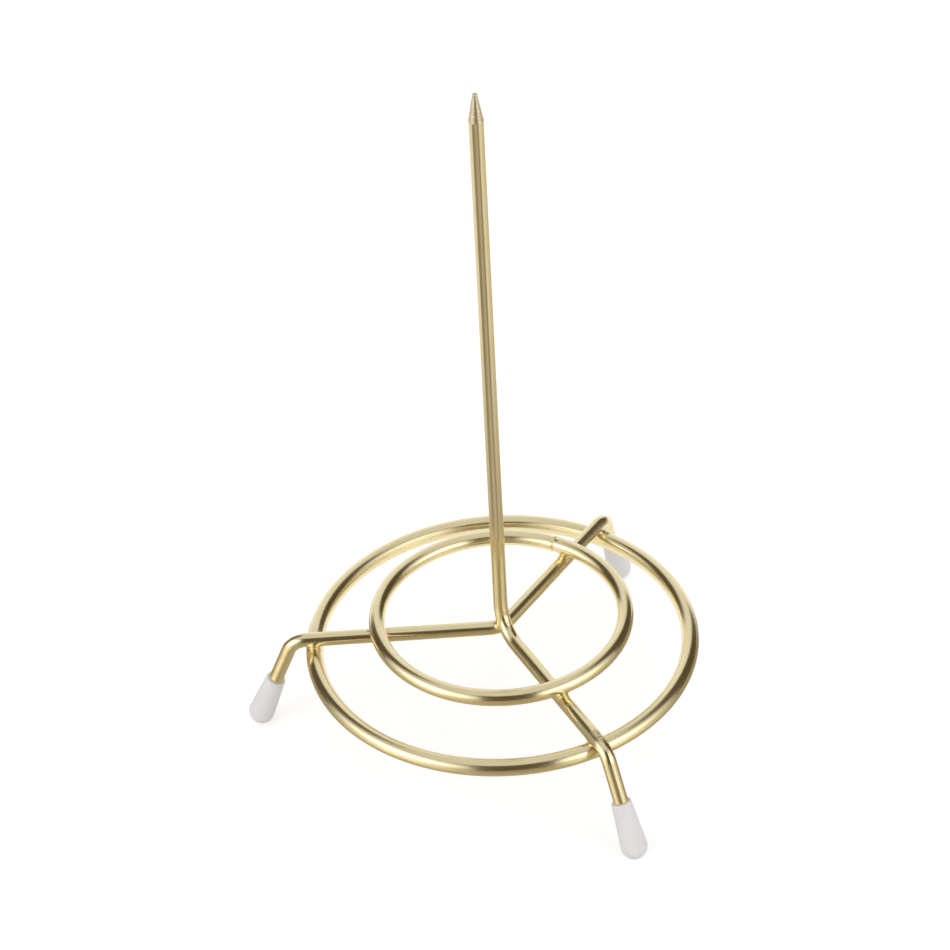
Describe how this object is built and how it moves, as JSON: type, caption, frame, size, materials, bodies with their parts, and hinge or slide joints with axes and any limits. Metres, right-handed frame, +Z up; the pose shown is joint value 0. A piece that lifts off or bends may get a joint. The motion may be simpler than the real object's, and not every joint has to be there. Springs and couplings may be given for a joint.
{
  "type": "bill spike",
  "caption": "Bill spike: an upright pointed wire on a welded wire stand of rings and splayed legs with push-on tips, holding slips of paper on a desk or counter.",
  "frame": {"origin": "on the table that the tips stand on, on the axis that the spike and both rings share", "axes": "+Z up along the spike to its point, -Y along the front leg, so the left leg lies towards -X and the right leg towards +X"},
  "size_m": [0.095, 0.0965, 0.152],
  "materials": {
    "wire": "bright pale brass plating on drawn steel wire",
    "weld": "brass plating over smooth weld metal",
    "tip": "soft white vinyl, slightly translucent"
  },
  "bodies": {
    "root": {"spike_and_front_leg": "wire", "side_legs": "wire", "outer_ring": "wire", "inner_ring": "wire", "spike_weld": "weld", "front_inner_weld": "weld", "left_inner_weld": "weld", "right_inner_weld": "weld", "front_outer_weld": "weld", "left_outer_weld": "weld", "right_outer_weld": "weld", "inner_ring_butt_weld": "weld", "outer_ring_butt_weld": "weld", "front_tip": "tip", "left_tip": "tip", "right_tip": "tip"}
  },
  "joints": []
}
